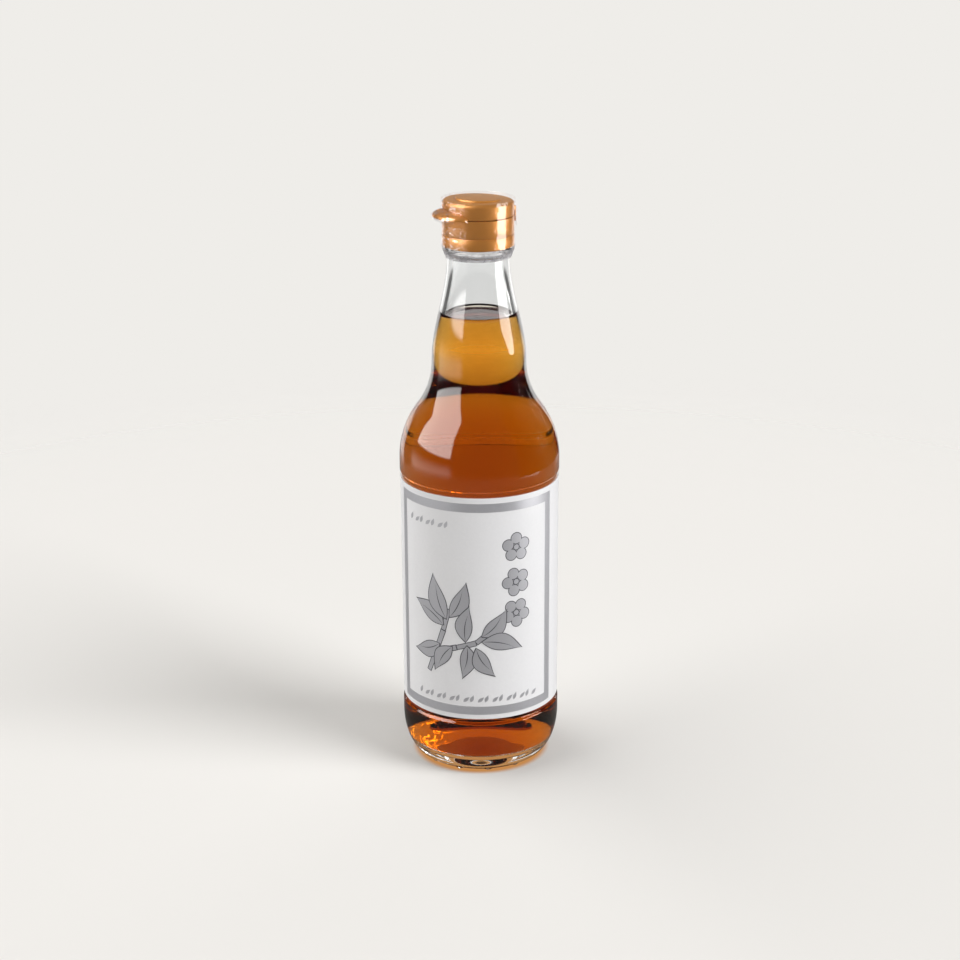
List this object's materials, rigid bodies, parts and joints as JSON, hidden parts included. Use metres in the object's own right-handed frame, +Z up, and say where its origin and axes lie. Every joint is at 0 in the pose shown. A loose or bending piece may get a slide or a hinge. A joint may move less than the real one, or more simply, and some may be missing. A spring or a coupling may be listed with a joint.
{
  "type": "soy sauce bottle",
  "caption": "Clear glass bottle of soy sauce with a paper wrap label, a long tapered neck and a shut flip-top pour cap under clear shrink film.",
  "frame": {"origin": "on the bottle's axis, at the flat ring under the base that the bottle stands on", "axes": "+Z up along the bottle's axis; the label's front faces -Y, with the middle of its print about 5 degrees towards -X"},
  "size_m": [0.068, 0.068, 0.2467],
  "materials": {
    "clear_glass": "clear, gloss",
    "soy_sauce": "clear amber liquid",
    "label_paper": "satin",
    "gold_cap_plastic": "pearl gold, gloss",
    "clear_film": "clear, gloss"
  },
  "bodies": {
    "root": {"bottle": "clear_glass", "soy_sauce": "soy_sauce", "label": "label_paper", "cap_base": "gold_cap_plastic", "cap_lid": "gold_cap_plastic", "shrink_film": "clear_film"}
  },
  "joints": []
}
